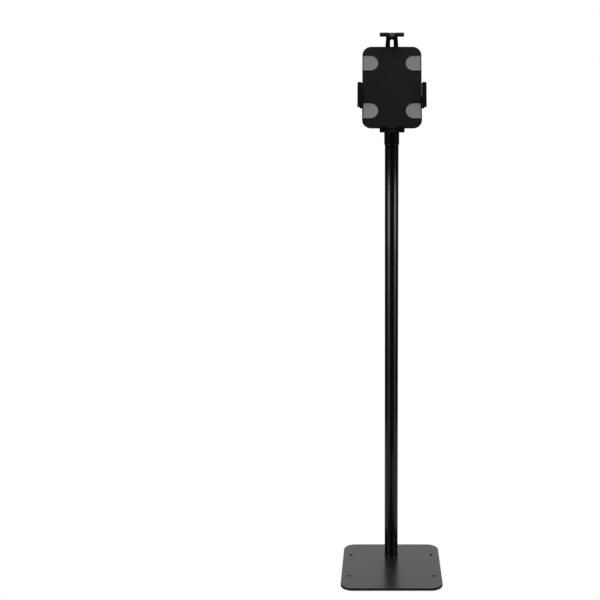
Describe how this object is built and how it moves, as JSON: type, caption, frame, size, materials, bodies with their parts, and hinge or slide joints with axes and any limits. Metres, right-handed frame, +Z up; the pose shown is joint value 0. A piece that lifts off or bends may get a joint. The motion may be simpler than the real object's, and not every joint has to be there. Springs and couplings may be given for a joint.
{
  "type": "adjustable tablet floor stand",
  "caption": "Floor stand with a flat square base, a straight round pole and a tilting, turning tablet holder with sliding hook arms.",
  "frame": {"origin": "centre of the base plate's footprint, on the floor", "axes": "+Z up along the pole, -Y towards the person who uses the tablet, +X to that person's right"},
  "size_m": [0.236, 0.236, 1.2552],
  "materials": {
    "powder_coat": "satin black powder coat",
    "pole_coat": "semi-gloss black paint",
    "arm_coat": "satin black powder coat",
    "grey_silicone": "matte grey silicone",
    "black_rubber": "matte black rubber",
    "zinc_steel": "zinc-plated steel",
    "black_fastener": "black-oxide steel",
    "lock_chrome": "nickel-plated lock",
    "white_acetal": "natural acetal"
  },
  "bodies": {
    "stand": {"base_plate": "powder_coat", "rubber_feet": "black_rubber", "weld_bead": "powder_coat", "pole": "pole_coat", "pole_bottom_plug": "zinc_steel", "base_bolt": "black_fastener", "pole_top_plug": "zinc_steel", "head_sleeve": "powder_coat", "sleeve_set_screws": "black_fastener", "tilt_yoke": "powder_coat", "yoke_bolt": "black_fastener", "tilt_bolt": "black_fastener", "tilt_nut": "zinc_steel", "tilt_washers": "white_acetal"},
    "tilt_head": {"tilt_knuckle": "powder_coat", "swivel_stud": "zinc_steel", "swivel_ring": "white_acetal", "swivel_washer": "zinc_steel", "swivel_nut": "zinc_steel"},
    "holder": {"holder_plate": "powder_coat", "pad_upper_left": "grey_silicone", "pad_upper_right": "grey_silicone", "pad_lower_left": "grey_silicone", "pad_lower_right": "grey_silicone", "rear_housing": "powder_coat", "housing_posts": "zinc_steel", "housing_screws": "black_fastener", "guide_studs": "zinc_steel", "stud_nuts": "zinc_steel", "side_rails": "zinc_steel", "clamp_plate": "zinc_steel", "swivel_bush": "white_acetal", "lock_barrel": "lock_chrome", "lock_ring_nut": "zinc_steel"},
    "lock_core": {"lock_plug": "lock_chrome", "lock_cam": "zinc_steel", "cam_screw": "black_fastener"},
    "top_slider": {"top_arm": "arm_coat", "top_grip_left": "black_rubber", "top_grip_right": "black_rubber"},
    "bottom_slider": {"bottom_arm": "arm_coat", "bottom_grip_left": "black_rubber", "bottom_grip_right": "black_rubber"},
    "left_slider": {"left_arm": "arm_coat", "left_liner": "black_rubber"},
    "right_slider": {"right_arm": "arm_coat", "right_liner": "black_rubber"}
  },
  "joints": [
    {"name": "tilt", "type": "hinge", "parent": "stand", "child": "tilt_head", "pos_m": [0, 0.056, 1.1128], "axis": [-1, 0, 0], "range_deg": [-22, 38]},
    {"name": "swivel", "type": "hinge", "parent": "tilt_head", "child": "holder", "pos_m": [0, 0.056, 1.1128], "axis": [0, -0.9272, 0.3746], "range_deg": [-90, 90]},
    {"name": "top_slide", "type": "slide", "parent": "holder", "child": "top_slider", "axis": [0, 0.3746, 0.9272], "range_m": [-0.015, 0.0775]},
    {"name": "bottom_slide", "type": "slide", "parent": "holder", "child": "bottom_slider", "axis": [0, -0.3746, -0.9272], "range_m": [-0.0015, 0.0295]},
    {"name": "left_slide", "type": "slide", "parent": "holder", "child": "left_slider", "axis": [-1, 0, 0], "range_m": [-0.007, 0.035]},
    {"name": "right_slide", "type": "slide", "parent": "holder", "child": "right_slider", "axis": [1, 0, 0], "range_m": [-0.007, 0.035]},
    {"name": "lock_turn", "type": "hinge", "parent": "holder", "child": "lock_core", "pos_m": [0, 0.00669, 1.08419], "axis": [0, -0.9272, 0.3746], "range_deg": [0, 90]}
  ]
}
